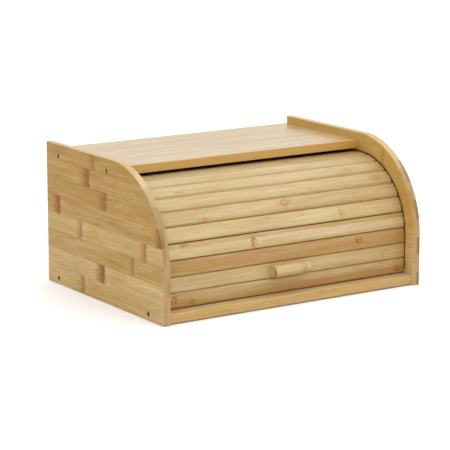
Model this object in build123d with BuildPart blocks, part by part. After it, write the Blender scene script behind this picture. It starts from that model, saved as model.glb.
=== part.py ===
from build123d import *
import math
import os

os.makedirs("parts", exist_ok=True)

# Overall size of the box. The origin is on the floor under its middle, and the front faces -Y.
box_width = 380.0
box_depth = 280.0
box_height = 180.0

# Side panels: square at the back, with one large round at the front top corner.
panel_thickness = 10.0
panel_round = 116.0
panel_edge_ease = 1.2
inner_half_width = box_width / 2 - panel_thickness

# Top shelf, set down between the side panels so that they form low rails.
shelf_top = 170.4
shelf_thickness = 11.0
shelf_front = -21.0
shelf_back = box_depth / 2 - 1.0
shelf_edge_ease = 0.8
shelf_bottom = shelf_top - shelf_thickness

# Base board, held just off the floor. Its front edge stands a little behind the side panels.
base_bottom = 1.5
base_top = 12.8
base_front = -137.5
base_back = box_depth / 2 - 1.0
base_edge_ease = 1.0

# Back panel, let into grooves in the side panels, the shelf and the base.
back_thickness = 7.0
back_inner_face = 131.0
back_groove_depth = 3.0
back_groove_play = 0.1

# The curtain's path, followed by the canvas on the slats' inner faces:
# straight up, round an arc, then back under the shelf with a slight fall.
path_front = -115.0
path_start_height = 13.5
path_radius = 88.0
path_centre_y = path_front + path_radius
path_centre_z = 61.0
path_fall = math.radians(4.0)

# Slats, counted from the bottom. Their outer faces are flat in the middle with round shoulders.
slat_count = 11
slat_pitch = 19.15
slat_width = 18.45
slat_thickness = 6.2
slat_edge_thickness = 3.3
slat_flat_half_width = 7.0
slat_half_length = inner_half_width - 0.6

# Tongues at the slat ends, which run in the grooves of the side panels.
tongue_width = 5.0
tongue_thickness = 3.0
tongue_height = 3.1
tongue_half_span = inner_half_width + 4.4

# Groove in each side panel for the tongues, blind at both ends. Its outer wall keeps an even offset
# from the canvas line. Its inner wall has a wider bend, where the tongues need room to turn.
groove_depth = 5.0
groove_outer_offset = 8.0
groove_inner_offset = 1.1
groove_inner_radius = 101.0
groove_inner_back_offset = 0.9
groove_low_end = 21.3
groove_back_run = 126.2

# Canvas glued to the inner faces, one strip for each slat.
canvas_thickness = 0.8
canvas_strip_width = 18.15
canvas_half_length = 176.0

# Handle on the second slat from the bottom, a bar with a flat back and a round front.
handle_slat = 2
handle_length = 51.5
handle_height = 15.0
handle_projection = 13.5
handle_edge_ease = 0.6
handle_screw_spacing = 30.0

# Screws. The panel screws sit in counterbores, and the handle screws are sunk flush under the canvas.
panel_screw_head_radius = 2.9
panel_screw_head_height = 1.8
panel_screw_shank_radius = 1.7
panel_screw_reach = 25.0
panel_counterbore_radius = 3.1
panel_counterbore_depth = 3.0
handle_screw_head_radius = 3.0
handle_screw_shank_radius = 1.5
handle_screw_length = 15.0
handle_screw_head_height = 1.5
screw_play = 0.1
cross_length = 3.4
cross_width = 0.8
cross_depth = 0.9
shelf_screw_ys = (-10.0, 110.0)
base_screw_ys = (-105.0, 113.0)
shelf_screw_z = (shelf_top + shelf_bottom) / 2
base_screw_z = 8.0
screw_points = [(y, shelf_screw_z) for y in shelf_screw_ys]
screw_points += [(y, base_screw_z) for y in base_screw_ys]


def path_point(run):
    """The canvas line's Y and Z at a distance along it from its bottom end."""
    straight = path_centre_z - path_start_height
    arc = path_radius * (math.pi / 2 + path_fall)
    if run < straight:
        return path_front, path_start_height + run
    turn = min((run - straight) / path_radius, math.pi / 2 + path_fall)
    y = path_centre_y - path_radius * math.cos(turn)
    z = path_centre_z + path_radius * math.sin(turn)
    beyond = max(run - straight - arc, 0.0)
    return y + beyond * math.cos(path_fall), z - beyond * math.sin(path_fall)


def fall_point(offset, run):
    """Y and Z on the run under the shelf: an offset out from the canvas line, a distance past the arc."""
    out = path_radius + offset
    y = path_centre_y + out * math.sin(path_fall) + run * math.cos(path_fall)
    z = path_centre_z + out * math.cos(path_fall) - run * math.sin(path_fall)
    return y, z


def slat_plane(number):
    """A slat's cross-section plane: local X runs up the curtain and local Y points outward."""
    low_y, low_z = path_point((number - 1) * slat_pitch)
    high_y, high_z = path_point(number * slat_pitch)
    middle = (0, (low_y + high_y) / 2, (low_z + high_z) / 2)
    return Plane(origin=middle, x_dir=(0, high_y - low_y, high_z - low_z), z_dir=(1, 0, 0))


def end_plane(side, inset, y, z):
    """A plane facing out of one side of the box, at an inset from the side panel's outer face."""
    return Plane(origin=(side * (box_width / 2 - inset), y, z), x_dir=(0, 1, 0), z_dir=(side, 0, 0))


# Outline of the tongue groove, as Y and Z: its outer wall from front to back, then its inner wall.
groove_outer_y = path_front - groove_outer_offset
groove_inner_y = path_front - groove_inner_offset
groove_outer_low = (groove_outer_y, groove_low_end)
groove_outer_bend = (groove_outer_y, path_centre_z)
groove_outer_top = fall_point(groove_outer_offset, 0)
groove_outer_back = fall_point(groove_outer_offset, groove_back_run)
groove_inner_back = fall_point(groove_inner_back_offset, groove_back_run)
groove_inner_centre_y = groove_inner_y + groove_inner_radius
inner_centre_shift = groove_inner_centre_y - path_centre_y
inner_centre_drop = groove_inner_radius - path_radius - groove_inner_back_offset
groove_inner_centre_z = path_centre_z - (
    inner_centre_drop + inner_centre_shift * math.sin(path_fall)
) / math.cos(path_fall)
groove_inner_top = (
    groove_inner_centre_y + groove_inner_radius * math.sin(path_fall),
    groove_inner_centre_z + groove_inner_radius * math.cos(path_fall),
)
groove_inner_bend = (groove_inner_y, groove_inner_centre_z)
groove_inner_low = (groove_inner_y, groove_low_end)
groove_low_tip = (
    (groove_outer_y + groove_inner_y) / 2,
    groove_low_end - (groove_inner_y - groove_outer_y) / 2,
)
groove_back_tip = fall_point(
    (groove_outer_offset + groove_inner_back_offset) / 2,
    groove_back_run + (groove_outer_offset - groove_inner_back_offset) / 2,
)


def make_side_panel(side):
    """One side panel; side is -1 for the left and 1 for the right, seen from the front."""
    front = -box_depth / 2
    back = box_depth / 2
    inner_plane = Plane.YZ.offset(side * inner_half_width)
    with BuildPart() as panel:
        with BuildSketch(inner_plane) as outline:
            with BuildLine() as edge:
                Line((back, 0), (back, box_height))
                Line((back, box_height), (front + panel_round, box_height))
                RadiusArc(
                    (front + panel_round, box_height),
                    (front, box_height - panel_round),
                    -panel_round,
                )
                Line((front, box_height - panel_round), (front, 0))
                Line((front, 0), (back, 0))
            make_face()
        extrude(amount=side * panel_thickness)
        fillet(panel.faces().filter_by(Axis.X).edges(), radius=panel_edge_ease)
        # Groove for the slat tongues.
        with BuildSketch(inner_plane) as tongue_groove:
            with BuildLine() as groove_edge:
                Line(groove_outer_low, groove_outer_bend)
                RadiusArc(groove_outer_bend, groove_outer_top, path_radius + groove_outer_offset)
                Line(groove_outer_top, groove_outer_back)
                ThreePointArc(groove_outer_back, groove_back_tip, groove_inner_back)
                Line(groove_inner_back, groove_inner_top)
                RadiusArc(groove_inner_top, groove_inner_bend, -groove_inner_radius)
                Line(groove_inner_bend, groove_inner_low)
                ThreePointArc(groove_inner_low, groove_low_tip, groove_outer_low)
            make_face()
        extrude(amount=side * groove_depth, mode=Mode.SUBTRACT)
        # Groove for the back panel.
        with BuildSketch(inner_plane) as back_groove:
            with Locations((back_inner_face + back_thickness / 2, (base_top + shelf_bottom) / 2)):
                Rectangle(back_thickness, shelf_bottom - base_top)
        extrude(amount=side * back_groove_depth, mode=Mode.SUBTRACT)
        with Locations(*[end_plane(side, 0, y, z) for y, z in screw_points]):
            CounterBoreHole(
                radius=panel_screw_shank_radius + screw_play,
                counter_bore_radius=panel_counterbore_radius,
                counter_bore_depth=panel_counterbore_depth,
                depth=panel_thickness,
            )
    return panel.part


side_panel_left = make_side_panel(-1)
side_panel_left.label = "side_panel_left"
export_step(side_panel_left, "parts/side_panel_left.step")

side_panel_right = make_side_panel(1)
side_panel_right.label = "side_panel_right"
export_step(side_panel_right, "parts/side_panel_right.step")

# Top shelf, with a groove under it for the back panel and pilot holes in its ends.
with BuildPart() as top_shelf:
    with BuildSketch(Plane.XY.offset(shelf_bottom)) as shelf_outline:
        with Locations((0, (shelf_front + shelf_back) / 2)):
            Rectangle(2 * inner_half_width, shelf_back - shelf_front)
    extrude(amount=shelf_thickness)
    fillet(top_shelf.faces().sort_by(Axis.Y)[0].edges().filter_by(Axis.X), radius=shelf_edge_ease)
    with BuildSketch(Plane.XY.offset(shelf_bottom)) as shelf_groove:
        with Locations((0, back_inner_face + back_thickness / 2)):
            Rectangle(2 * inner_half_width, back_thickness)
    extrude(amount=back_groove_depth, mode=Mode.SUBTRACT)
    for side in (-1, 1):
        with Locations(*[end_plane(side, panel_thickness, y, shelf_screw_z) for y in shelf_screw_ys]):
            Hole(radius=panel_screw_shank_radius + screw_play, depth=panel_screw_reach + 1.0)

top_shelf.part.label = "top_shelf"
export_step(top_shelf.part, "parts/top_shelf.step")

# Base board, with a groove on top for the back panel and pilot holes in its ends.
with BuildPart() as base_panel:
    with BuildSketch(Plane.XY.offset(base_bottom)) as base_outline:
        with Locations((0, (base_front + base_back) / 2)):
            Rectangle(2 * inner_half_width, base_back - base_front)
    extrude(amount=base_top - base_bottom)
    fillet(base_panel.faces().sort_by(Axis.Y)[0].edges().filter_by(Axis.X), radius=base_edge_ease)
    with BuildSketch(Plane.XY.offset(base_top)) as base_groove:
        with Locations((0, back_inner_face + back_thickness / 2)):
            Rectangle(2 * inner_half_width, back_thickness)
    extrude(amount=-back_groove_depth, mode=Mode.SUBTRACT)
    for side in (-1, 1):
        with Locations(*[end_plane(side, panel_thickness, y, base_screw_z) for y in base_screw_ys]):
            Hole(radius=panel_screw_shank_radius + screw_play, depth=panel_screw_reach + 1.0)

base_panel.part.label = "base_panel"
export_step(base_panel.part, "parts/base_panel.step")

# Back panel, a plain board that stands on the bottom of the groove in the base.
back_panel_bottom = base_top - back_groove_depth
back_panel_top = shelf_bottom + back_groove_depth - 2 * back_groove_play
back_panel_half_width = inner_half_width + back_groove_depth - 2 * back_groove_play

# The board is full height between the side panels; its ends enter only the side grooves.
with BuildPart() as back_panel:
    with BuildSketch(Plane.XY.offset(back_panel_bottom)) as back_outline:
        with Locations((0, back_inner_face + back_thickness / 2)):
            Rectangle(2 * inner_half_width, back_thickness - 2 * back_groove_play)
    extrude(amount=back_panel_top - back_panel_bottom)
    with BuildSketch(Plane.XY.offset(base_top)) as back_ends:
        with Locations((0, back_inner_face + back_thickness / 2)):
            Rectangle(2 * back_panel_half_width, back_thickness - 2 * back_groove_play)
    extrude(amount=shelf_bottom - base_top)

back_panel.part.label = "back_panel"
export_step(back_panel.part, "parts/back_panel.step")

# The two handle screws enter slat 2 from its inner face.
handle_plane = slat_plane(handle_slat)
handle_slat_y = handle_plane.origin.Y
handle_slat_z = handle_plane.origin.Z
handle_screw_planes = [
    Plane(origin=(x, handle_slat_y, handle_slat_z), x_dir=(1, 0, 0), z_dir=(0, 1, 0))
    for x in (-handle_screw_spacing / 2, handle_screw_spacing / 2)
]

# Slats, each with a tongue at both ends, and the strip of canvas behind each slat.
half_width = slat_width / 2
shoulder_drop = slat_thickness - slat_edge_thickness
shoulder_run = half_width - slat_flat_half_width
shoulder_radius = (shoulder_run**2 + shoulder_drop**2) / (2 * shoulder_drop)
upper_edge = (half_width, slat_edge_thickness)
upper_flat = (slat_flat_half_width, slat_thickness)
lower_flat = (-slat_flat_half_width, slat_thickness)
lower_edge = (-half_width, slat_edge_thickness)

for number in range(1, slat_count + 1):
    plane = slat_plane(number)
    with BuildPart() as slat:
        with BuildSketch(plane) as section:
            with BuildLine() as section_edge:
                Line((-half_width, 0), (half_width, 0))
                Line((half_width, 0), upper_edge)
                RadiusArc(upper_edge, upper_flat, -shoulder_radius)
                Line(upper_flat, lower_flat)
                RadiusArc(lower_flat, lower_edge, -shoulder_radius)
                Line(lower_edge, (-half_width, 0))
            make_face()
        extrude(amount=slat_half_length, both=True)
        with BuildSketch(plane) as tongue_section:
            with Locations((0, tongue_height)):
                Rectangle(tongue_width, tongue_thickness)
        extrude(amount=tongue_half_span, both=True)
        if number == handle_slat:
            with Locations(*handle_screw_planes):
                CounterSinkHole(
                    radius=handle_screw_shank_radius + screw_play,
                    counter_sink_radius=handle_screw_head_radius + screw_play,
                    depth=slat_thickness,
                )
    slat.part.label = f"slat_{number:02d}"
    export_step(slat.part, f"parts/slat_{number:02d}.step")

    with BuildPart() as canvas:
        with BuildSketch(plane) as canvas_section:
            with Locations((0, -canvas_thickness / 2)):
                Rectangle(canvas_strip_width, canvas_thickness)
        extrude(amount=canvas_half_length, both=True)
    canvas.part.label = f"canvas_{number:02d}"
    export_step(canvas.part, f"parts/canvas_{number:02d}.step")

# Handle: flat back against the slat, half-round front.
handle_round = handle_height / 2
handle_shoulder = slat_thickness + handle_projection - handle_round

with BuildPart() as handle:
    with BuildSketch(handle_plane) as handle_section:
        with BuildLine() as handle_edge:
            Line((-handle_round, slat_thickness), (handle_round, slat_thickness))
            Line((handle_round, slat_thickness), (handle_round, handle_shoulder))
            ThreePointArc(
                (handle_round, handle_shoulder),
                (0, handle_shoulder + handle_round),
                (-handle_round, handle_shoulder),
            )
            Line((-handle_round, handle_shoulder), (-handle_round, slat_thickness))
        make_face()
    extrude(amount=handle_length / 2, both=True)
    # The end edges are eased, except along the back.
    back_face = handle.faces().sort_by(Axis.Y)[-1]
    fillet(handle.faces().filter_by(Axis.X).edges() - back_face.edges(), radius=handle_edge_ease)
    with Locations(*[place.offset(-slat_thickness) for place in handle_screw_planes]):
        Hole(
            radius=handle_screw_shank_radius + screw_play,
            depth=handle_screw_length - slat_thickness + 0.5,
        )

handle.part.label = "handle"
export_step(handle.part, "parts/handle.step")

# Handle screws: countersunk heads flush with the slat's inner face, with cross recesses.
with BuildPart() as handle_screws:
    with Locations(*[place.offset(-handle_screw_length) for place in handle_screw_planes]):
        Cylinder(
            radius=handle_screw_shank_radius,
            height=handle_screw_length - 0.1,
            align=(Align.CENTER, Align.CENTER, Align.MIN),
        )
    with Locations(*[place.offset(-0.1) for place in handle_screw_planes]):
        Cone(
            bottom_radius=handle_screw_shank_radius,
            top_radius=handle_screw_head_radius - 0.1,
            height=handle_screw_head_height,
            align=(Align.CENTER, Align.CENTER, Align.MAX),
        )
        Box(cross_length, cross_width, 2 * cross_depth, mode=Mode.SUBTRACT)
        Box(cross_width, cross_length, 2 * cross_depth, mode=Mode.SUBTRACT)

handle_screws.part.label = "handle_screws"
export_step(handle_screws.part, "parts/handle_screws.step")

# Panel screws: four through each side panel, two into the shelf and two into the base.
head_inset = panel_counterbore_depth - panel_screw_head_height
screw_tip_inset = panel_thickness + panel_screw_reach
head_planes = [end_plane(side, head_inset, y, z) for side in (-1, 1) for y, z in screw_points]
tip_planes = [end_plane(side, screw_tip_inset, y, z) for side in (-1, 1) for y, z in screw_points]

with BuildPart() as panel_screws:
    with Locations(*tip_planes):
        Cylinder(
            radius=panel_screw_shank_radius,
            height=screw_tip_inset - head_inset - 0.5,
            align=(Align.CENTER, Align.CENTER, Align.MIN),
        )
    with Locations(*head_planes):
        Cylinder(
            radius=panel_screw_head_radius,
            height=panel_screw_head_height,
            align=(Align.CENTER, Align.CENTER, Align.MAX),
        )
        Box(cross_length, cross_width, 2 * cross_depth, mode=Mode.SUBTRACT)
        Box(cross_width, cross_length, 2 * cross_depth, mode=Mode.SUBTRACT)

panel_screws.part.label = "panel_screws"
export_step(panel_screws.part, "parts/panel_screws.step")
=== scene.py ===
import math
import random
from collections import namedtuple

import bpy
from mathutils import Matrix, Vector


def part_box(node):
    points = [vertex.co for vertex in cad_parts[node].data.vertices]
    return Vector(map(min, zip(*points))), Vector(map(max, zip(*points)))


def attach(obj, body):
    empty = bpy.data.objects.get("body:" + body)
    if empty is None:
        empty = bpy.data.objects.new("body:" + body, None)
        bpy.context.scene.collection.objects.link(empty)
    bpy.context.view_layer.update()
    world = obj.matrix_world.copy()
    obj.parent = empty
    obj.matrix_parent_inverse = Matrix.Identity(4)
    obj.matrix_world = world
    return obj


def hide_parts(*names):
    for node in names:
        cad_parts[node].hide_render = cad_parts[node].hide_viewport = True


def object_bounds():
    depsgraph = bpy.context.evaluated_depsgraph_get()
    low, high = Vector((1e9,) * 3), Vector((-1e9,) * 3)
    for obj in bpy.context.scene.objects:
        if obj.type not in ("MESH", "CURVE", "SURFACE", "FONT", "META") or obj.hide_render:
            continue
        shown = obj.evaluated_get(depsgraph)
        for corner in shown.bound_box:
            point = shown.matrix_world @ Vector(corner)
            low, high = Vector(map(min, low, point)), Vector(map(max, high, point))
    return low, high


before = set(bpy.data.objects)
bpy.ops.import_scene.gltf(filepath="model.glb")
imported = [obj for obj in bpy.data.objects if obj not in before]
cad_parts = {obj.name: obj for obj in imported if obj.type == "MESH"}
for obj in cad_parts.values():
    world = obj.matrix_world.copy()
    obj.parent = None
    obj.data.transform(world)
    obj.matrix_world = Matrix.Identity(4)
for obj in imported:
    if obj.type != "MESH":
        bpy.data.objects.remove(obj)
cad_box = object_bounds()
scene = bpy.context.scene
MM = 0.001
PER_METRE = 1000
X_AXIS, Y_AXIS, Z_AXIS, FRONT = (1, 0, 0), (0, 1, 0), (0, 0, 1), (0, -1, 0)


# ---------------------------------------------------------------- node helpers
def linear(r, g, b):
    """A colour given as sRGB bytes, as the linear RGBA that shaders take."""
    out = []
    for c in (r, g, b):
        c /= 255
        out.append(c / 12.92 if c <= 0.04045 else ((c + 0.055) / 1.055) ** 2.4)
    return (*out, 1.0)


class Tree:
    """Short calls for building a node tree. Each takes numbers or sockets, and returns a socket."""

    def __init__(self, tree):
        self.tree = tree

    def node(self, kind, **settings):
        n = self.tree.nodes.new(kind)
        for key, value in settings.items():
            setattr(n, key, value)
        return n

    def put(self, value, socket):
        if isinstance(value, bpy.types.NodeSocket):
            self.tree.links.new(value, socket)
        else:
            socket.default_value = value

    def math(self, operation, *values):
        n = self.node("ShaderNodeMath", operation=operation)
        for value, socket in zip(values, n.inputs):
            self.put(value, socket)
        return n.outputs[0]

    def add(self, a, b):
        return self.math("ADD", a, b)

    def sub(self, a, b):
        return self.math("SUBTRACT", a, b)

    def mul(self, a, b):
        return self.math("MULTIPLY", a, b)

    def absolute(self, a):
        return self.math("ABSOLUTE", a)

    def swing(self, value, size):
        """A value from 0 to 1, turned into one from -size / 2 to size / 2."""
        return self.mul(self.sub(value, 0.5), size)

    def dot(self, a, b):
        n = self.node("ShaderNodeVectorMath", operation="DOT_PRODUCT")
        self.put(a, n.inputs[0])
        self.put(b, n.inputs[1])
        return n.outputs["Value"]

    def vector(self, x, y, z):
        n = self.node("ShaderNodeCombineXYZ")
        for value, socket in zip((x, y, z), n.inputs):
            self.put(value, socket)
        return n.outputs[0]

    def noise(self, vector, scale, detail, roughness=0.5):
        n = self.node("ShaderNodeTexNoise")
        for key, value in (
            ("Vector", vector), ("Scale", scale), ("Detail", detail), ("Roughness", roughness),
        ):
            self.put(value, n.inputs[key])
        return n.outputs[0]

    def stretched_noise(self, place, rates, detail, roughness=0.5):
        """Noise over three coordinates, each first multiplied by its own rate."""
        scaled = [value if rate == 1 else self.mul(value, rate) for value, rate in zip(place, rates)]
        return self.noise(self.vector(*scaled), 1.0, detail, roughness)

    def random(self, w):
        """A fixed random number from 0 to 1 for each whole number w."""
        n = self.node("ShaderNodeTexWhiteNoise", noise_dimensions="1D")
        self.put(w, n.inputs["W"])
        return n.outputs["Value"]

    def step(self, value, low, high, to_low=0.0, to_high=1.0, smooth=True):
        """A number that goes from to_low to to_high as the value goes from low to high."""
        n = self.node("ShaderNodeMapRange", interpolation_type="SMOOTHSTEP" if smooth else "LINEAR")
        for v, socket in zip((value, low, high, to_low, to_high), n.inputs):
            self.put(v, socket)
        return n.outputs[0]

    def mix(self, factor, a, b, blend="MIX"):
        n = self.node("ShaderNodeMix", data_type="RGBA", blend_type=blend)
        self.put(factor, n.inputs[0])
        self.put(a, n.inputs[6])
        self.put(b, n.inputs[7])
        return n.outputs[2]

    def mix_numbers(self, factor, a, b):
        n = self.node("ShaderNodeMix", data_type="FLOAT")
        self.put(factor, n.inputs[0])
        self.put(a, n.inputs[2])
        self.put(b, n.inputs[3])
        return n.outputs[0]

    def ramp(self, value, stops, interpolation="LINEAR"):
        """A colour ramp with the given (place, RGBA) stops."""
        n = self.node("ShaderNodeValToRGB")
        n.color_ramp.interpolation = interpolation
        elements = n.color_ramp.elements
        while len(elements) < len(stops):
            elements.new(1.0)
        for element, (place, colour) in zip(elements, stops):
            element.position = place
            element.color = colour
        self.put(value, n.inputs[0])
        return n.outputs[0]

    def number_ramp(self, value, stops, interpolation="LINEAR"):
        """A ramp of plain numbers, with (place, number) stops."""
        grey = [(place, (number, number, number, 1.0)) for place, number in stops]
        return self.dot(self.ramp(value, grey, interpolation), X_AXIS)

    def steps(self, value, low, high, stops):
        """A number that changes in steps: stops are (place, number), with places from low to high."""
        scaled = self.step(value, low, high, smooth=False)
        places = [((place - low) / (high - low), number) for place, number in stops]
        return self.number_ramp(scaled, places, "CONSTANT")

    def pick(self, index, numbers):
        """The number at a whole-number index, which counts from 0."""
        stops = [(i - 0.5, number) for i, number in enumerate(numbers)]
        return self.steps(index, -0.5, len(numbers) - 0.5, stops)

    def bump(self, height, strength, distance):
        n = self.node("ShaderNodeBump")
        for key, value in (("Strength", strength), ("Distance", distance), ("Height", height)):
            self.put(value, n.inputs[key])
        return n.outputs[0]


class MaterialTree(Tree):
    """A new material's tree, with its shader, the place on the object in millimetres, and the direction that
    the surface faces."""

    def __init__(self, name):
        self.material = bpy.data.materials.new(name)
        self.material.use_nodes = True
        super().__init__(self.material.node_tree)
        self.tree.nodes.clear()
        self.shader = self.node("ShaderNodeBsdfPrincipled")
        self.put(self.shader.outputs[0], self.node("ShaderNodeOutputMaterial").inputs[0])
        coordinates = self.node("ShaderNodeTexCoord")
        in_mm = self.node("ShaderNodeVectorMath", operation="SCALE")
        self.put(coordinates.outputs["Object"], in_mm.inputs[0])
        self.put(PER_METRE, in_mm.inputs["Scale"])
        self.place, self.normal = in_mm.outputs[0], coordinates.outputs["Normal"]

    def xyz(self):
        return [self.dot(self.place, axis) for axis in (X_AXIS, Y_AXIS, Z_AXIS)]

    def facing(self, direction, low, high, both_ways=False):
        """1 where the surface faces a direction, 0 where it doesn't, for cosines between low and high."""
        cosine = self.dot(self.normal, direction)
        return self.step(self.absolute(cosine) if both_ways else cosine, low, high)

    def shade(self, **inputs):
        """Sets the shader's inputs, which are named here with _ for a space."""
        for key, value in inputs.items():
            self.put(value, self.shader.inputs[key.replace("_", " ")])


def give(node, material):
    """Puts one material on every slot of a CAD node."""
    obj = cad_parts[node]
    if not obj.material_slots:
        obj.data.materials.append(material)
    for slot in obj.material_slots:
        slot.material = material


# ---------------------------------------------------------------- bamboo colours
# How much white light the lacquer reflects over the colour, on the boards, on the duller side panels and
# on the curtain, and how bright the light on the box is.
VEIL, PANEL_VEIL, CURTAIN_VEIL = 0.055, 0.042, 0.025
GAIN, CURTAIN_GAIN = 1.06, 1.12
DARKEST = 0.004


def albedo(r, g, b, veil=VEIL, gain=GAIN):
    """The base colour that looks like the given sRGB bytes on the lit box."""
    return (*(max(DARKEST, (c - veil) / gain) for c in linear(r, g, b)[:3]), 1.0)


def curtain_albedo(r, g, b):
    return albedo(r, g, b, CURTAIN_VEIL, CURTAIN_GAIN)


# Bamboo's look for tones from 0, dark and reddish, to 1, pale.
BAMBOO = (
    (0.00, (152, 114, 62)), (0.16, (165, 126, 72)), (0.32, (176, 139, 84)), (0.48, (184, 151, 99)),
    (0.62, (192, 163, 113)), (0.76, (201, 174, 127)), (0.90, (210, 187, 142)), (1.00, (217, 196, 156)),
)
KNOT = albedo(152, 108, 54, PANEL_VEIL)
STAIN = albedo(112, 74, 36, PANEL_VEIL)
SLAT_KNOT = curtain_albedo(176, 134, 70)
SLAT_STAIN = curtain_albedo(130, 86, 38)
RUSSET = curtain_albedo(179, 128, 66)
SEAM = albedo(140, 100, 54)
PORE = albedo(132, 96, 54)
DARK_END = albedo(148, 121, 86)
END = albedo(186, 160, 124)
PALE_END = albedo(214, 190, 152)
RED_END = albedo(172, 104, 64)
# GOLDEN is painted bounce light on the panels' inner faces, and the yellower front of the boards.
GOLDEN = albedo(212, 164, 84)
# The pale flanks: painted light in the gaps between slats.
PAINTED_GAP_LIGHT = albedo(238, 206, 152)

# Factors on red, green and blue: the slow changes along a board, and each kind of board's own tint.
PINKER, YELLOWER = (1.025, 0.985, 1.14), (0.975, 1.015, 0.86)
PANEL_TINT, BOARD_TINT, SLAT_TINT = (0.985, 1.0, 1.0), (0.97, 0.99, 0.99), (0.96, 1.0, 1.04)


def bamboo_ramp(t, tone, veil=VEIL, gain=GAIN):
    return t.ramp(tone, [(place, albedo(*look, veil, gain)) for place, look in BAMBOO])


def tinted(t, colour, along, across, depth, seed, tint):
    """The colour with slow changes in how yellow it is, about a tint."""
    pinker, yellower = ((*(a * b for a, b in zip(tint, factors)), 1.0) for factors in (PINKER, YELLOWER))
    layer = t.add(t.mul(depth, 0.6), seed)
    slow = t.stretched_noise((along, across, layer), (0.007, 0.14, 1), 1.5)
    return t.mix(1.0, colour, t.ramp(slow, [(0.28, pinker), (0.72, yellower)]), "MULTIPLY")


# ---------------------------------------------------------------- bamboo grain
# The grain's four noises: their rates along the fibre, across it and in depth, their detail and roughness.
GRAIN = (
    ((0.011, 0.05, 1), 1.0, 0.5),  # slow drift
    ((0.008, 0.24, 1), 1.5, 0.5),  # bands
    ((0.026, 0.95, 1), 3.0, 0.62),  # streaks
    ((0.11, 3.6, 3.0), 2.0, 0.6),  # fine fibres
)
GRAIN_TONES = (0.36, 0.44, 0.88, 0.84)
SLAT_GRAIN_TONES = (0.28, 0.40, 0.72, 0.68)
HANDLE_GRAIN_TONES = (0.4, 0.6, 0.6, 0.4)
WAVE = 3.0
BUMP_DEPTH = 0.12 * MM
LACQUER_ROUGHNESS = 0.2
# Glued strips meet in a line that fades out between these distances.
SEAM_INSIDE, SEAM_OUTSIDE = 0.08, 0.5


def grain(t, along, across, depth, seed, wave=1.0):
    """The four noises of GRAIN, each from 0 to 1, along fibres that wander sideways by wave."""
    shift = t.stretched_noise((along, across, seed), (0.02, 0.05, 1), 2.0)
    bent = t.add(across, t.swing(shift, WAVE * wave))
    layer = t.add(t.mul(depth, 0.7), seed)
    return [t.stretched_noise((along, bent, layer), rates, detail, roughness)
            for rates, detail, roughness in GRAIN]


def grain_tone(t, fields, tones=GRAIN_TONES):
    """The change in tone that the grain makes."""
    total = None
    for field, tone in zip(fields, tones):
        part = t.swing(field, tone)
        total = part if total is None else t.add(total, part)
    return total


def dashes(t, along, across, depth, seed):
    """Thin dark fibre bundles: short dashes about 0.3 mm wide, and lines about 1 mm wide and 40 mm long."""
    layer = t.add(t.mul(depth, 1.3), seed)
    short = t.stretched_noise((along, across, layer), (0.2, 2.6, 1), 1.0)
    lines = t.stretched_noise((along, across, t.add(layer, 5.0)), (0.022, 0.85, 1), 1.0)
    return t.math("MAXIMUM", t.step(short, 0.64, 0.74), t.step(lines, 0.56, 0.74, 0.0, 0.9))


def finish_bamboo(t, colour, fields, seam=None, rough=0.36, bump=0.35, coat=0.08, ior=1.45):
    """Roughness and bump that go with the grain, and the clear lacquer."""
    streaks, fibres = fields[2:]
    roughness = t.step(fibres, 0.3, 0.75, rough - 0.05, rough + 0.07, smooth=False)
    roughness = t.add(roughness, t.swing(streaks, 0.10))
    height = t.add(t.mul(fibres, 0.6), t.mul(streaks, 0.5))
    if seam is not None:
        height = t.sub(height, t.mul(seam, 1.2))
        roughness = t.add(roughness, t.mul(seam, 0.15))
    t.shade(Base_Color=colour, Roughness=roughness, Normal=t.bump(height, bump, BUMP_DEPTH), IOR=ior,
            Coat_Weight=coat, Coat_Roughness=LACQUER_ROUGHNESS)


def strips(t, across, width, start):
    """Glued strips: each point's strip number, the number of its nearest joint, and a thin line there."""
    scaled = t.math("DIVIDE", t.sub(across, start), width)
    joint = t.math("ROUND", scaled)
    gap = t.mul(t.absolute(t.sub(scaled, joint)), width)
    return t.math("FLOOR", scaled), joint, t.step(gap, SEAM_INSIDE, SEAM_OUTSIDE, 1.0, 0.0)


def end_grain(t, tone):
    """Cut bamboo, from dark at tone 0 to pale at tone 1, with small dark pores."""
    pores = t.noise(t.place, 1.7, 2.0, 0.6)
    cloud = t.noise(t.place, 0.12, 2.0)
    cut = t.ramp(t.add(tone, t.swing(cloud, 0.25)), [(0.0, DARK_END), (0.65, END), (1.0, PALE_END)])
    return t.mix(t.step(pores, 0.5, 0.72, 0.0, 0.3), cut, PORE)


# ---------------------------------------------------------------- bamboo node marks
def knuckle_group():
    """A node group for one node mark on one strip: a dark line on its front side, fading to the other."""
    group = bpy.data.node_groups.new("knuckle", "ShaderNodeTree")
    for name in ("Along", "Front", "Width", "Row", "Index", "Strength", "Blotch", "Speckle"):
        group.interface.new_socket(name, in_out="INPUT", socket_type="NodeSocketFloat")
    group.interface.new_socket("Mask", in_out="OUTPUT", socket_type="NodeSocketFloat")
    t = Tree(group)
    source = t.node("NodeGroupInput").outputs
    far = t.math("DIVIDE", t.sub(source["Along"], source["Front"]), source["Width"])
    ragged = t.add(far, t.add(t.swing(source["Blotch"], 1.3), t.swing(source["Speckle"], 0.9)))
    body = t.mul(t.step(ragged, -0.15, 0.15), t.step(ragged, 0.3, 2.0, 0.68, 0.0))
    line = t.mul(t.step(ragged, -0.12, 0.12), t.step(ragged, 0.2, 0.9, 1.0, 0.0))
    mottled = t.step(source["Speckle"], 0.36, 0.62, 0.45, 1.0)
    same_strip = t.math("COMPARE", source["Row"], source["Index"], 0.5)
    mark = t.mul(t.math("MAXIMUM", body, line), t.mul(mottled, source["Strength"]))
    t.put(t.mul(mark, same_strip), t.node("NodeGroupOutput").inputs["Mask"])
    return group


KNUCKLE = knuckle_group()


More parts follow.
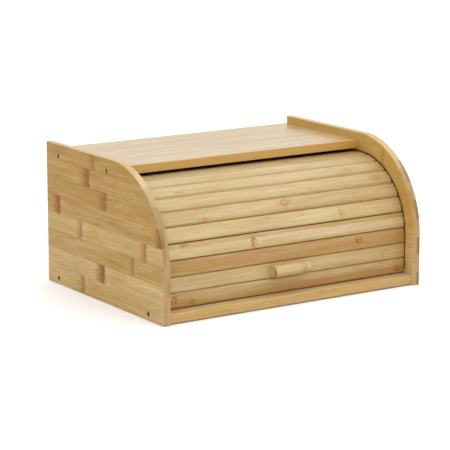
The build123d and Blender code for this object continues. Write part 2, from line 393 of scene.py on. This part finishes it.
def knuckles(t, along, row, blotch, speckle, marks):
    """The stain of all the marks. A mark is (strip, front edge in mm, width, strength)."""
    stain = None
    for strip, front, width, strength in marks:
        n = t.node("ShaderNodeGroup", node_tree=KNUCKLE)
        for key, value in (
            ("Along", along), ("Front", front), ("Width", width), ("Row", row), ("Index", float(strip)),
            ("Strength", strength), ("Blotch", blotch), ("Speckle", speckle),
        ):
            t.put(value, n.inputs[key])
        mask = n.outputs["Mask"]
        stain = mask if stain is None else t.math("MAXIMUM", stain, mask)
    return stain


def stained(t, colour, stain, faint=KNOT, strong=STAIN):
    """The colour under a node mark."""
    return t.mix(t.step(stain, 0.35, 1.0, 0.0, 0.9), t.mix(t.step(stain, 0.0, 0.5), colour, faint), strong)


def slat_stain(t, along, across, seed, marks):
    """The stain of a slat's node marks, each a faint spot crossed by thin curved strokes. A mark is
    (place along, place across, half width, half height, strength), in mm."""
    blotch = t.stretched_noise((along, across, seed), (0.24, 0.22, 1), 2.0, 0.6)
    stroke = t.step(t.absolute(t.sub(blotch, 0.5)), 0.02, 0.10, 1.0, 0.0)
    stain = 0.0
    for centre, height, half_width, half_height, strength in marks:
        away = t.math("DIVIDE", t.sub(along, centre), half_width)
        rise = t.math("DIVIDE", t.sub(across, height), half_height)
        far = t.math("SQRT", t.add(t.mul(away, away), t.mul(rise, rise)))
        spot = t.step(t.add(far, t.swing(blotch, 1.2)), 0.2, 1.4, 1.0, 0.0)
        spot = t.mul(spot, t.step(stroke, 0.0, 1.0, 0.2 * strength, strength, smooth=False))
        stain = t.math("MAXIMUM", stain, spot)
    return stain


# ---------------------------------------------------------------- side panels
# One ply of a side panel: the tone of each strip, its node marks, and the tones of its cut ends along the
# front, each from the height given with it. Strips are counted from the bottom.
# The highest end tones are raised where the front edge curves over to face up: painted light from above.
Ply = namedtuple("Ply", "tones marks ends")

# The strips' width, and where the lowest whole one starts on each ply.
PANEL_STRIP = 22.7
INNER_START, OUTER_START = 6.8, 1.2
PANEL_HEIGHT = cad_box[1][2] * PER_METRE
panel_low, panel_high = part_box("side_panel_right")
# The plies meet in the middle of the panel's thickness.
PLY_JOINT = (panel_low.x + panel_high.x) / 2 * PER_METRE
PLY_BLUR = 0.05
# Steps in the noise from one strip to the next, and from the outer ply to the inner one.
NEXT_STRIP_GRAIN, NEXT_STRIP_TINT, NEXT_PLY_GRAIN = 7.31, 4.1, 9.0

LEFT_OUTER = Ply(
    # The two lowest strips' tones are raised over their own: painted light against the shade near the floor.
    tones=(0.58, 0.62, 0.42, 0.56, 0.38, 0.34, 0.38, 0.30, 0.34),
    marks=(
        (0, 46.5, 13, 0.5), (1, -3, 15, 0.95), (2, -73.5, 9, 0.5), (3, 51, 12, 0.5), (3, -102, 12, 0.6),
        (4, 106, 13, 1.0), (4, -137, 12, 0.95), (5, -9.5, 15, 0.8), (6, 31.5, 16, 0.9), (7, 18.5, 13, 0.5),
    ),
    ends=((0.0, 0.44), (24.0, 0.50), (70.0, 0.30), (92.0, 0.42), (137.0, 0.60), (158.0, 0.9)),
)
LEFT_INNER = Ply(
    tones=(0.5, 0.45, 0.55, 0.4, 0.52, 0.46, 0.5, 0.44, 0.5),
    marks=((1, 60, 14, 0.7), (2, -30, 14, 0.6), (4, 20, 14, 0.7), (5, -70, 13, 0.6), (6, 90, 14, 0.7)),
    ends=((0.0, 0.60), (34.0, 0.34), (57.0, 0.50), (92.0, 0.44), (137.0, 0.70), (158.0, 0.95)),
)
RIGHT_OUTER = Ply(
    tones=(0.5, 0.42, 0.6, 0.5, 0.44, 0.62, 0.5, 0.46, 0.5),
    marks=(
        (0, -112, 13, 0.6), (1, 71, 14, 0.8), (2, -20, 12, 0.5), (3, 118, 14, 0.8), (4, -64, 15, 0.7),
        (5, 30, 13, 0.8), (6, -85, 14, 0.8), (6, 96, 12, 0.5), (7, -50, 13, 0.5),
    ),
    ends=(
        (0.0, 0.08), (15.5, 0.5), (38.7, 0.05), (61.5, 0.48), (84.0, 0.05), (107.0, 0.52), (129.6, 0.15),
        (152.7, 0.8),
    ),
)
RIGHT_INNER = Ply(
    # These tones are raised by about 0.2 over the strips' own: painted light where the inner face lies in
    # shade behind the curtain and shelf.
    tones=(1.00, 0.95, 0.76, 0.62, 0.52, 0.60, 0.62, 0.62, 0.60),
    marks=(
        (6, -76, 7, 0.3), (7, -38, 9, 0.2), (0, -127, 10, 0.3), (2, 40, 14, 0.7), (3, -20, 13, 0.6),
        (5, 75, 14, 0.7),
    ),
    ends=((0.0, 0.54), (29.5, 0.46), (97.5, 0.32), (119.5, 0.58), (145.0, 0.78)),
)
# How dark the joint under each strip is.
LEFT_JOINTS = (0.2, 0.3, 0.65, 0.75, 0.25, 0.3, 0.85, 0.2, 0.2)
RIGHT_JOINTS = (0.3, 0.4, 0.6, 0.3, 0.5, 0.3, 0.5, 0.3, 0.3)


def panel_material(name, seed, outer, inner, joints):
    """A side panel of two plies of wide strips that run from front to back, with cut ends along the front."""
    t = MaterialTree(name)
    x, y, z = t.xyz()
    outside = t.step(t.absolute(x), PLY_JOINT - PLY_BLUR, PLY_JOINT + PLY_BLUR)

    def by_ply(inner_value, outer_value):
        return t.mix_numbers(outside, inner_value, outer_value)

    row, joint, seam = strips(t, z, PANEL_STRIP, by_ply(INNER_START, OUTER_START))
    grain_seed = t.add(t.mul(row, NEXT_STRIP_GRAIN), by_ply(seed + NEXT_PLY_GRAIN, seed))
    fields = grain(t, y, z, x, grain_seed)
    tone = t.add(by_ply(t.pick(row, inner.tones), t.pick(row, outer.tones)), grain_tone(t, fields))
    # The inner faces are mixed towards golden: painted bounce light from the golden slats.
    colour = t.mix(by_ply(0.4, 0.0), bamboo_ramp(t, tone, PANEL_VEIL), GOLDEN)
    colour = tinted(t, colour, y, z, t.add(x, t.mul(row, NEXT_STRIP_TINT)), seed, PANEL_TINT)
    colour = t.mix(t.mul(dashes(t, y, z, x, seed), 0.30), colour, PORE)
    blotch = t.stretched_noise((y, z, seed), (0.16, 0.30, 1), 2.0, 0.6)
    speckle = t.stretched_noise((y, z, seed), (0.6, 0.75, 1), 3.0, 0.75)
    stain = by_ply(*(knuckles(t, y, row, blotch, speckle, ply.marks) for ply in (inner, outer)))
    colour = stained(t, colour, stain)
    # The joints between strips are darker in some places than in others.
    patchy = t.step(t.stretched_noise((y, joint, seed), (0.018, 5.3, 1), 1.0), 0.36, 0.6, 0.25, 1.0)
    colour = t.mix(t.mul(seam, t.mul(t.pick(joint, joints), patchy)), colour, SEAM)
    # The strips' cut ends show on the front edge.
    end_tone = by_ply(*(t.steps(z, 0.0, PANEL_HEIGHT, ply.ends) for ply in (inner, outer)))
    ends = t.mix(t.mul(stain, 0.55), end_grain(t, end_tone), STAIN)
    off_sides = t.step(t.absolute(t.dot(t.normal, X_AXIS)), 0.62, 0.72, 1.0, 0.0)
    colour = t.mix(t.mul(t.facing(FRONT, 0.30, 0.5), off_sides), colour, ends)
    # The tops of the edges, which face up, are mixed paler than the faces: painted light from above.
    colour = t.mix(t.mul(t.facing(Z_AXIS, 0.60, 0.95), 0.6), colour, PALE_END)
    finish_bamboo(t, colour, fields, seam, coat=0.0, ior=1.26)
    return t.material


give("side_panel_left", panel_material("bamboo_panel_left", 3.0, LEFT_OUTER, LEFT_INNER, LEFT_JOINTS))
give("side_panel_right", panel_material("bamboo_panel_right", 11.0, RIGHT_OUTER, RIGHT_INNER, RIGHT_JOINTS))


# ---------------------------------------------------------------- shelf, base and back
NEXT_BOARD_STRIP_GRAIN = 3.77


def board_material(name, seed, tone, spread, width, start, rough, across=Y_AXIS, depth=Z_AXIS, marks=(),
                   coat=0.08, bump=0.35, painted_front_shade=0.0, yellow=0.25):
    """A board of strips that run from side to side, of tones within spread of the given one. Its front face
    is darker and yellower by the last two. The darker front and the paler top are painted light from above."""
    t = MaterialTree(name)
    along, over, deep = (t.dot(t.place, axis) for axis in (X_AXIS, across, depth))
    row, _, seam = strips(t, over, width, start)
    grain_seed = t.add(t.mul(row, NEXT_BOARD_STRIP_GRAIN), seed)
    fields = grain(t, t.mul(along, 0.6), over, deep, grain_seed, 0.4)
    strip_tone = t.step(t.random(t.add(row, seed)), 0.0, 1.0, tone - spread, tone + spread, smooth=False)
    front = t.facing(FRONT, 0.4, 0.8)
    # The front face is darkened: painted shade, the top being lit from above.
    colour = bamboo_ramp(t, t.sub(t.add(strip_tone, grain_tone(t, fields)), t.mul(front, painted_front_shade)))
    colour = tinted(t, colour, along, over, t.add(deep, t.mul(row, NEXT_STRIP_TINT)), seed, BOARD_TINT)
    colour = t.mix(t.mul(dashes(t, along, over, deep, seed), 0.2), colour, PORE)
    if marks:
        blotch = t.stretched_noise((along, over, seed), (0.22, 0.34, 1), 2.0, 0.6)
        speckle = t.stretched_noise((along, over, seed), (0.75, 0.62, 1), 2.0, 0.7)
        colour = stained(t, colour, knuckles(t, along, row, blotch, speckle, marks))
    colour = t.mix(t.mul(seam, 0.3), colour, SEAM)
    colour = t.mix(t.mul(front, yellow), colour, GOLDEN)
    finish_bamboo(t, colour, fields, seam, rough, bump, coat)
    return t.material


BASE_MARKS = ((3, 60, 12, 0.6), (8, -40, 12, 0.6))
BACK_MARKS = (
    (1, -60, 13, 0.7), (3, 90, 14, 0.8), (5, -120, 13, 0.6), (4, 10, 14, 0.7), (0, 130, 12, 0.6),
    (6, 40, 13, 0.6),
)
give("top_shelf", board_material(
    "bamboo_shelf", seed=5.0, tone=0.62, spread=0.07, width=16.0, start=-21.0, rough=0.28,
    coat=0.3, bump=0.08, yellow=0.5))
# The base's tone is raised as painted light on its top from above, and its front is taken back down by
# painted shade.
give("base_panel", board_material(
    "bamboo_base", seed=8.0, tone=0.86, spread=0.05, width=19.0, start=-137.5, rough=0.36,
    marks=BASE_MARKS, painted_front_shade=0.16))
give("back_panel", board_material(
    "bamboo_back", seed=17.0, tone=0.5, spread=0.12, width=20.5, start=12.0, rough=0.4,
    across=Z_AXIS, depth=Y_AXIS, marks=BACK_MARKS))


# ---------------------------------------------------------------- slats
# Each slat from the bottom: its tone from its lower edge, 0, to its upper one, 1, and its node marks.
SLATS = {
    1: (((0.0, 0.26), (0.42, 0.30), (0.55, 0.46), (0.8, 0.58), (1.0, 0.55)),
        ((-163, 1, 9, 7, 1.0), (-140, -4, 11, 5, 0.9), (168, -3, 12, 6, 1.0), (4, -7, 17, 3, 0.8))),
    2: (((0.0, 0.56), (0.3, 0.62), (0.7, 0.62), (1.0, 0.58)), ((147, 0, 9, 6, 0.35),)),
    3: (((0.0, 0.38), (0.35, 0.32), (0.6, 0.34), (0.85, 0.38), (1.0, 0.40)),
        ((107, 1, 10, 8, 1.0), (-60, -3, 12, 3, 0.2))),
    4: (((0.0, 0.58), (0.3, 0.76), (0.66, 0.78), (0.76, 0.58), (1.0, 0.52)),
        ((-49, -1, 4.5, 8, 1.0), (-147, 7, 8, 3, 0.6))),
    5: (((0.0, 0.62), (0.3, 0.72), (0.8, 0.70), (1.0, 0.66)), ((87, -2, 7, 7, 0.5), (-22, 5, 7, 3, 0.3))),
    6: (((0.0, 0.50), (0.14, 0.58), (0.3, 0.66), (0.7, 0.70), (1.0, 0.66)),
        ((8, 2, 11, 8, 0.55), (-112, -6, 9, 3, 0.6))),
    7: (((0.0, 0.62), (0.3, 0.70), (0.8, 0.72), (1.0, 0.66)), ((157, 0, 10, 7, 0.5), (55, -5, 7, 3, 0.35))),
    8: (((0.0, 0.62), (0.2, 0.68), (0.4, 0.72), (0.8, 0.72), (1.0, 0.66)),
        ((127, -1, 9, 6, 0.5), (-127, -4, 8, 4, 0.5), (100, 6, 10, 2, 0.3))),
    9: (((0.0, 0.70), (0.5, 0.78), (1.0, 0.74)), ((-20, 0, 7, 6, 0.3), (150, 0, 7, 6, 0.3))),
    10: (((0.0, 0.6), (0.5, 0.70), (1.0, 0.66)), ((60, 0, 8, 6, 0.4),)),
    11: (((0.0, 0.5), (0.5, 0.6), (1.0, 0.6)), ((-90, 0, 8, 6, 0.4),)),
}
# Half the width of a slat's face, over which its tones run.
TONED_HALF_WIDTH = 9.2
# The curtain darkens from the first of these places to the second, by this much tone.
SHADE_FROM, SHADE_TO, SHADE = 20.0, 185.0, -0.10
# Each pattern's seed on a slat is the slat's number times this.
GRAIN_SEED, WANDER_SEED, TINT_SEED, DASH_SEED, MARK_SEED = 3.17, 1.9, 2.7, 5.1, 2.3


def slat_frame(node):
    """A slat's middle (in metres), its direction up the curtain and its outward direction."""
    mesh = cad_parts[node].data
    face = max(mesh.polygons, key=lambda p: p.area)
    inward = Vector((0, face.normal.y, face.normal.z)).normalized()
    outward = -inward
    up = Vector((0, outward.z, -outward.y))
    on_face = [v.co for v in mesh.vertices if abs((v.co - face.center).dot(inward)) < 0.01 * MM]
    heights = [c.dot(up) for c in on_face]
    middle = (max(heights) + min(heights)) / 2
    origin = up * middle + inward * face.center.dot(inward)
    return origin, up, outward


def slat_material(number, profile, marks):
    """A slat, one strip of bamboo along X."""
    node = f"slat_{number:02d}"
    origin, up, outward = slat_frame(node)
    t = MaterialTree(f"bamboo_{node}")
    local = t.node("ShaderNodeVectorMath", operation="SUBTRACT")
    t.put(t.place, local.inputs[0])
    t.put(tuple(origin * PER_METRE), local.inputs[1])
    along = t.dot(t.place, X_AXIS)
    across, depth = (t.dot(local.outputs[0], tuple(axis)) for axis in (up, outward))
    fields = grain(t, along, across, depth, number * GRAIN_SEED, 0.6)
    # The edge between two tones wanders along the slat.
    wander = t.stretched_noise((along, across, number * WANDER_SEED), (0.007, 0.03, 1), 1.0)
    level = t.add(across, t.swing(wander, 7.0))
    level = t.step(level, -TONED_HALF_WIDTH, TONED_HALF_WIDTH, smooth=False)
    tone = t.add(t.number_ramp(level, profile), grain_tone(t, fields, SLAT_GRAIN_TONES))
    tone = t.add(tone, t.step(along, SHADE_FROM, SHADE_TO, 0.0, SHADE))
    colour = bamboo_ramp(t, tone, CURTAIN_VEIL, CURTAIN_GAIN)
    # Darker places are redder too.
    colour = t.mix(t.step(tone, 0.55, 0.15, 0.0, 0.5), colour, RUSSET)
    colour = tinted(t, colour, along, across, depth, number * TINT_SEED, SLAT_TINT)
    colour = t.mix(t.mul(dashes(t, along, across, depth, number * DASH_SEED), 0.22), colour, PORE)
    stain = slat_stain(t, along, across, number * MARK_SEED, marks)
    colour = stained(t, colour, stain, SLAT_KNOT, SLAT_STAIN)
    # The flanks between slats are mixed very pale: painted light in the dark gaps between slats. The ends are
    # cut across the fibre.
    colour = t.mix(t.facing(tuple(up), 0.90, 0.99, both_ways=True), colour, PAINTED_GAP_LIGHT)
    colour = t.mix(t.mul(t.facing(X_AXIS, 0.7, 0.9, both_ways=True), 0.4), colour, PORE)
    finish_bamboo(t, colour, fields, rough=0.38)
    return t.material


for number, (profile, marks) in SLATS.items():
    give(f"slat_{number:02d}", slat_material(number, profile, marks))


# ---------------------------------------------------------------- handle and screws
HANDLE_SEED = 41.0
HANDLE_TONE, HANDLE_END_TONE = 0.60, 0.74
# In mm: the middle of the bar's mottled stretch, the heights between which the bar goes from painted shade to
# painted light, and the slanting line over its cut end from bamboo's own colour to red.
MOTTLE_X = 16.5
SHADED_Z, LIT_Z = 37.0, 48.0
RED_FROM, RED_TO = -114.0, -122.0


def handle_material():
    """The handle: a pale bar along X, mottled near one end, with painted shade below and painted light on
    top, and with darker cut ends.
    """
    t = MaterialTree("bamboo_handle")
    x, y, z = t.xyz()
    fields = grain(t, x, z, y, HANDLE_SEED, 0.5)
    tone = t.add(grain_tone(t, fields, HANDLE_GRAIN_TONES), HANDLE_TONE)
    blotch = t.stretched_noise((x, z, HANDLE_SEED), (0.3, 0.4, 1), 3.0, 0.7)
    near = t.step(t.absolute(t.sub(x, MOTTLE_X)), 1.0, 7.0, 1.0, 0.0)
    tone = t.sub(tone, t.mul(t.mul(near, t.step(blotch, 0.38, 0.6)), 0.30))
    # Painted shade under the bar and painted light on its top.
    tone = t.add(tone, t.step(z, SHADED_Z, LIT_Z, -0.16, 0.10))
    colour = bamboo_ramp(t, tone, CURTAIN_VEIL, CURTAIN_GAIN)
    # The cut end is redder towards its front.
    front = t.step(t.add(t.mul(z, 0.3), y), RED_FROM, RED_TO)
    end = t.mix(t.mul(front, 0.85), bamboo_ramp(t, HANDLE_END_TONE), RED_END)
    colour = t.mix(t.facing(X_AXIS, 0.6, 0.9, both_ways=True), colour, end)
    finish_bamboo(t, colour, fields, rough=0.34)
    return t.material


give("handle", handle_material())

METAL_DUST = linear(120, 108, 92)
METAL_BUMP_DEPTH = 0.05 * MM


def metal_material(name, colour, rough):
    """Screw steel with fine turning marks and a little wear."""
    t = MaterialTree(name)
    dust = t.noise(t.place, 0.9, 4.0, 0.6)
    fine = t.noise(t.place, 6.0, 2.0, 0.6)
    t.shade(
        Base_Color=t.mix(t.step(dust, 0.45, 0.75, 0.0, 0.5), colour, METAL_DUST),
        Metallic=1.0,
        Roughness=t.step(fine, 0.3, 0.7, rough - 0.08, rough + 0.12, smooth=False),
        Normal=t.bump(fine, 0.3, METAL_BUMP_DEPTH))
    return t.material


give("panel_screws", metal_material("black_steel", linear(104, 88, 68), 0.45))
give("handle_screws", metal_material("plated_steel", linear(190, 186, 176), 0.3))


# ---------------------------------------------------------------- canvas
THREAD_PITCH = 0.9
THREAD_DEPTH = 0.25 * MM
CLOTH, SLUB, THREAD_GAP_SHADE = linear(226, 216, 192), linear(196, 182, 152), linear(140, 124, 96)
CANVAS_THICKNESS = 0.62 * MM
CANVAS_HALF_WIDTH = 9.0 * MM
GLUE_GAP = 0.03 * MM
COLUMNS, ROWS = 88, 6


def canvas_material():
    """Unbleached cotton canvas: a plain weave with slubs."""
    t = MaterialTree("cotton_canvas")
    uv = t.node("ShaderNodeUVMap", uv_map="weave").outputs[0]
    u, v = t.dot(uv, X_AXIS), t.dot(uv, Y_AXIS)
    warp, weft = (t.math("SINE", t.mul(place, 2 * math.pi / THREAD_PITCH)) for place in (u, v))
    over = t.step(t.mul(warp, weft), -0.25, 0.25)
    height = t.mix_numbers(over, t.absolute(weft), t.absolute(warp))
    slub = t.stretched_noise((u, v, 2.0), (0.08, 0.9, 1), 3.0, 0.6)
    threads = t.mix(t.step(slub, 0.35, 0.75), CLOTH, SLUB)
    t.shade(
        # The low places between threads are darkened: painted shade in the weave.
        Base_Color=t.mix(t.step(height, 0.55, 0.1, 0.0, 0.45), threads, THREAD_GAP_SHADE),
        Sheen_Weight=0.25,
        Sheen_Roughness=0.5,
        Roughness=t.step(slub, 0.2, 0.8, 0.8, 0.95),
        Normal=t.bump(t.add(height, t.mul(slub, 0.5)), 0.6, THREAD_DEPTH))
    return t.material


CANVAS = canvas_material()


def strip_points(number, half_length):
    """A strip's points, first on its glued front and then on its back, as (along, up, inward) in metres."""
    rng = random.Random(100 + number)
    fray = [[rng.uniform(-0.12, 0.05) * MM for _ in range(COLUMNS + 1)] for _ in range(2)]
    ends = [[rng.uniform(-0.5, 0.0) * MM for _ in range(ROWS + 1)] for _ in range(2)]
    points = []
    for depth, is_back in ((GLUE_GAP, False), (CANVAS_THICKNESS, True)):
        for i in range(COLUMNS + 1):
            for j in range(ROWS + 1):
                s = i / COLUMNS * 2 - 1
                r = j / ROWS * 2 - 1
                along, up, inward = s * half_length, r * CANVAS_HALF_WIDTH, depth
                if j in (0, ROWS):
                    up += fray[j > 0][i] * (1 if j else -1)
                if i in (0, COLUMNS):
                    along += ends[i > 0][j] * (1 if i else -1)
                if is_back:
                    # The back thins towards its edges, and is slightly uneven.
                    inward -= 0.12 * MM * max(abs(r) ** 6, abs(s) ** 60)
                    inward += 0.03 * MM * math.sin(i * 1.7 + number) * math.cos(j * 2.1)
                points.append((along, up, inward))
    return points


def strip_faces():
    """The faces of a slab whose front and back have COLUMNS by ROWS squares."""
    def at(layer, i, j):
        return (layer * (COLUMNS + 1) + i) * (ROWS + 1) + j

    faces = []
    for i in range(COLUMNS):
        for j in range(ROWS):
            faces.append((at(1, i, j), at(1, i + 1, j), at(1, i + 1, j + 1), at(1, i, j + 1)))
            faces.append((at(0, i, j), at(0, i, j + 1), at(0, i + 1, j + 1), at(0, i + 1, j)))
    for i in range(COLUMNS):
        faces.append((at(0, i, 0), at(0, i + 1, 0), at(1, i + 1, 0), at(1, i, 0)))
        faces.append((at(0, i, ROWS), at(1, i, ROWS), at(1, i + 1, ROWS), at(0, i + 1, ROWS)))
    last = COLUMNS
    for j in range(ROWS):
        faces.append((at(0, 0, j), at(1, 0, j), at(1, 0, j + 1), at(0, 0, j + 1)))
        faces.append((at(0, last, j), at(0, last, j + 1), at(1, last, j + 1), at(1, last, j)))
    return faces


def canvas_strip(number):
    """One strip of the canvas behind a slat: a thin woven slab with soft, slightly uneven edges."""
    node = f"canvas_{number:02d}"
    origin, up, outward = slat_frame(f"slat_{number:02d}")
    low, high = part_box(node)
    half_length = (high.x - low.x) / 2
    points = strip_points(number, half_length)
    mesh = bpy.data.meshes.new(f"canvas_strip_{number:02d}")
    places = [Vector((x, 0, 0)) + origin + up * a - outward * d for x, a, d in points]
    mesh.from_pydata(places, [], strip_faces())
    weave = mesh.uv_layers.new(name="weave")
    for loop in mesh.loops:
        x, a, _ = points[loop.vertex_index]
        weave.data[loop.index].uv = (x * PER_METRE, a * PER_METRE)
    mesh.materials.append(CANVAS)
    for polygon in mesh.polygons:
        polygon.use_smooth = True
    obj = bpy.data.objects.new(mesh.name, mesh)
    scene.collection.objects.link(obj)
    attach(obj, f"slat_{number:02d}_moving")
    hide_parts(node)


for number in SLATS:
    canvas_strip(number)


# ---------------------------------------------------------------- floor
FLOOR_HALF = 6.0


def floor():
    corners = [(x * FLOOR_HALF, y * FLOOR_HALF, 0) for x, y in ((-1, -1), (1, -1), (1, 1), (-1, 1))]
    mesh = bpy.data.meshes.new("floor")
    mesh.from_pydata(corners, [], [(0, 1, 2, 3)])
    obj = bpy.data.objects.new("floor", mesh)
    scene.collection.objects.link(obj)
    t = MaterialTree("pale_floor")
    mottle = t.noise(t.place, 0.01, 3.0)
    t.shade(Base_Color=t.mix(mottle, linear(247, 247, 247), linear(243, 243, 243)), Roughness=0.85)
    mesh.materials.append(t.material)


floor()


# ---------------------------------------------------------------- light and camera
def add_looking(obj, direction):
    """Adds a light or camera, turned to look in a direction."""
    obj.rotation_euler = Vector(direction).to_track_quat("-Z", "Y").to_euler()
    scene.collection.objects.link(obj)


def area_light(name, position, target, size, watts):
    data = bpy.data.lights.new(name, "AREA")
    data.shape = "RECTANGLE"
    data.size, data.size_y = size
    data.energy = watts
    obj = bpy.data.objects.new(name, data)
    obj.location = position
    add_looking(obj, Vector(target) - Vector(position))


def sky_light(name, direction, strength, spread):
    """Very soft light from a direction, the same over the whole floor. The spread is in degrees."""
    data = bpy.data.lights.new(name, "SUN")
    data.energy = strength
    data.angle = math.radians(spread)
    add_looking(bpy.data.objects.new(name, data), direction)


area_light("key", position=(-0.7, -2.2, 2.1), target=(0, 0, 0.08), size=(1.8, 1.2), watts=7.5)
sky_light("soft_top", direction=(-0.05, 0.35, -1.0), strength=1.1, spread=110.0)

world = bpy.data.worlds.new("studio")
scene.world = world
world.use_nodes = True
background = world.node_tree.nodes["Background"]
background.inputs["Color"].default_value = (1, 1, 1, 1)
background.inputs["Strength"].default_value = 1.05
scene.view_settings.view_transform = "Standard"

# The camera looks at the box from the left of its front and a little above.
AZIMUTH, ELEVATION, DISTANCE = math.radians(-33.39), math.radians(12.10), 2.558
TARGET = Vector((-0.0123, 0.0, 0.0759))
camera_data = bpy.data.cameras.new("camera")
camera_data.sensor_width = 36.0
camera_data.lens = 162.2
camera_data.clip_start = 0.05
camera_data.clip_end = 50.0
camera = bpy.data.objects.new("camera", camera_data)
camera.location = TARGET + DISTANCE * Vector((
    math.sin(AZIMUTH) * math.cos(ELEVATION), -math.cos(AZIMUTH) * math.cos(ELEVATION), math.sin(ELEVATION)))
add_looking(camera, TARGET - camera.location)
scene.camera = camera

bpy.context.view_layer.update()
